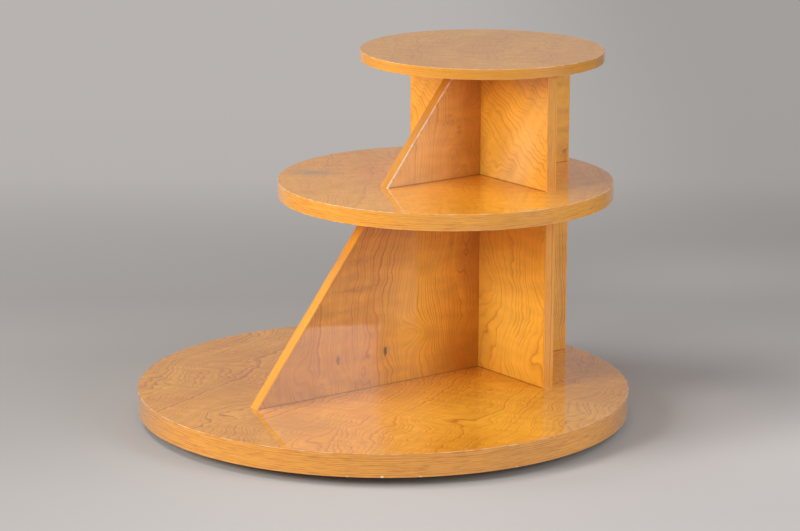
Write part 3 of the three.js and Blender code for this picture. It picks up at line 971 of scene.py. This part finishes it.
# The camera, where it looks, and how far it stands from the table's middle along the floor
CAMERA_PLACE = (-3.3295, -4.4462, 1.6065)
VIEW_AHEAD = (0.5872, 0.7754, -0.2322)
CAMERA_ROLL = 0.247
CAMERA_LENS, SENSOR_WIDTH = 141.14, 36
CAMERA_BACK = 5.55

# What the lamps face, how far off they stand, and their usual size
LAMP_TARGET = Vector((0.05, 0.0, 0.3))
LAMP_DISTANCE = 4.0
LAMP_SIZE = 1.4
SIDE_LAMP_SIZE = 1.7
WHITE = (1, 1, 1)
COOL = (0.88, 0.96, 1.08)

# The floor's painted shade: its tones from in front of the table to far behind it, and their share out of
# view
FLOOR_SIZE = 90
FLOOR_SPAN = (-1.0, 4.0)
FLOOR_SHARES = [(0.0, 0.54), (0.10, 0.525), (0.19, 0.465), (0.28, 0.38), (0.375, 0.35), (0.49, 0.40),
                (0.62, 0.45), (0.80, 0.46)]
UNLIT_SHARE = 0.5


def add_lamp(name, power, direction, size=LAMP_SIZE, colour=WHITE, mirrored=False):
    """A soft lamp in that direction from the table; the lacquer shows its image where mirrored."""
    away = Vector(direction).normalized()
    turn = away.to_track_quat("Z", "Y").to_euler()
    bpy.ops.object.light_add(type="AREA", location=LAMP_TARGET + away * LAMP_DISTANCE, rotation=turn)
    lamp = bpy.context.active_object
    lamp.name = name
    lamp.data.shape = "SQUARE"
    lamp.data.size = size
    lamp.data.energy = power
    lamp.data.color = colour
    lamp.visible_glossy = mirrored


class TABLE_OT_stage(bpy.types.Operator):
    """Sets the floor, the lamps, the surroundings and the camera"""
    bl_idname = "side_table.stage"
    bl_label = "Studio"

    def floor_look(self):
        """A pale floor with painted shade, dimmer on the right behind the table, that glows by itself far
        behind it.
        """
        material, bench, shader = new_material("studio floor")
        turn = -math.atan2(VIEW_AHEAD[1], VIEW_AHEAD[0])
        turned = bench.parts(bench.mapped(bench.place(), rotation=(0, 0, turn)))
        away, sideways = turned[0], bench.times(turned[1], -1.0)
        tone = bench.ramp(bench.between(away, *FLOOR_SPAN, ease="LINEAR"), FLOOR_SHARES)
        # Painted shade and light: dimmer on the right behind the table and on the left in front of it,
        # lighter on the right beside it
        dim = bench.times(bench.between(away, 0.9, 1.9), bench.between(sideways, 0.05, 1.0, 0.0, 0.24))
        left = bench.times(bench.between(sideways, -1.0, 0.1, 0.30, 0.0), bench.between(away, 0.6, -0.2))
        tone = bench.times(tone, bench.minus(1.0, bench.plus(dim, left)))
        right = bench.times(bench.between(sideways, 0.2, 0.8, 0.0, 0.2), bench.between(away, 1.5, 1.0),
                            bench.between(away, -0.6, -0.1))
        tone = bench.times(tone, bench.plus(1.0, right))
        # Painted shade outside a wedge that widens away from the camera
        spread = bench.math("MAXIMUM", bench.plus(away, CAMERA_BACK), 5.2)
        aside = bench.math("ABSOLUTE", bench.math("DIVIDE", sideways, spread))
        lit = bench.times(bench.between(aside, 0.17, 0.26, 1.0, 0.0), bench.between(away, -3.2, -1.2))
        tone = bench.times(tone, bench.between(lit, 0.0, 1.0, UNLIT_SHARE, 1.0))
        colour = bench.brightened(studio().floor_tint, tone)
        far = bench.between(away, 0.9, 2.2)
        bench.fill(shader, {
            "Base Color": bench.brightened(colour, bench.minus(1.0, far)), "Emission Color": colour,
            "Emission Strength": far, "Roughness": 0.8, "Specular IOR Level": 0.2})
        return material

    def light_room(self):
        """The room's even light, at full strength where it is seen or mirrored."""
        world = bpy.data.worlds.new("surroundings")
        world.use_nodes = True
        bpy.context.scene.world = world
        room = Bench(world.node_tree)
        ray = room.add("ShaderNodeLightPath").outputs
        seen = room.math("MAXIMUM", ray["Is Camera Ray"], ray["Is Glossy Ray"])
        seen = room.math("MAXIMUM", seen, ray["Is Transmission Ray"])
        room.fill(world.node_tree.nodes["Background"], {
            "Color": (*studio().surroundings, 1),
            "Strength": room.between(seen, 0.0, 1.0, studio().room_light, 1.0)})

    def set_camera(self):
        bpy.ops.object.camera_add(location=CAMERA_PLACE)
        camera = bpy.context.active_object
        camera.name = "studio_camera"
        ahead = Vector(VIEW_AHEAD).normalized()
        right = ahead.cross(Z).normalized()
        up = right.cross(ahead)
        roll = math.radians(CAMERA_ROLL)
        level_x = math.cos(roll) * right + math.sin(roll) * up
        level_y = -math.sin(roll) * right + math.cos(roll) * up
        camera.rotation_euler = Matrix((level_x, level_y, -ahead)).transposed().to_euler()
        camera.data.sensor_width = SENSOR_WIDTH
        camera.data.lens = CAMERA_LENS
        camera.data.clip_end = 200
        bpy.context.scene.camera = camera

    def execute(self, context):
        bpy.ops.mesh.primitive_plane_add(size=FLOOR_SIZE, location=(0, 0, 0))
        floor = named("studio_floor")
        dress(floor, self.floor_look())
        add_lamp("front_lamp", studio().front_light, (-0.920, 0.0, 0.392))
        add_lamp("left_lamp", studio().left_light, (-0.783, 0.587, 0.208))
        add_lamp("high_lamp", studio().high_light, (-0.424, 0.318, 0.848))
        add_lamp("near_lamp", studio().near_light, (-0.587, -0.783, 0.208))
        add_lamp("side_lamp", studio().side_light, (0.381, -0.872, 0.309), SIDE_LAMP_SIZE, COOL, True)
        add_lamp("right_lamp", studio().right_light, (0.500, -0.500, 0.707))
        self.light_room()
        self.set_camera()
        bpy.context.scene.view_settings.view_transform = "Standard"
        return {"FINISHED"}


class TABLE_PT_sidebar(bpy.types.Panel):
    bl_label = "Side Table"
    bl_idname = "TABLE_PT_sidebar"
    bl_space_type = "VIEW_3D"
    bl_region_type = "UI"
    bl_category = "Side Table"

    def draw(self, context):
        for group in (shapes(), finish(), studio()):
            for name in group.bl_rna.properties.keys():
                if name not in ("rna_type", "name"):
                    self.layout.prop(group, name)
        for step in STEPS:
            self.layout.operator(step.bl_idname)


STEPS = (TABLE_OT_boards, TABLE_OT_bands, TABLE_OT_panels, TABLE_OT_lippings, TABLE_OT_feet,
         TABLE_OT_inner_parts, TABLE_OT_stage)
SETTINGS = {"side_table_shapes": TableShapes, "side_table_finish": TableFinish,
            "side_table_studio": StudioLook}


def register():
    for kind in (*SETTINGS.values(), *STEPS, TABLE_PT_sidebar):
        bpy.utils.register_class(kind)
    for name, kind in SETTINGS.items():
        setattr(bpy.types.Scene, name, bpy.props.PointerProperty(type=kind))


def unregister():
    for name in SETTINGS:
        delattr(bpy.types.Scene, name)
    for kind in reversed((*SETTINGS.values(), *STEPS, TABLE_PT_sidebar)):
        bpy.utils.unregister_class(kind)


def main():
    register()
    for step in STEPS:
        group, name = step.bl_idname.split(".")
        getattr(getattr(bpy.ops, group), name)()


if __name__ == "__main__":
    main()
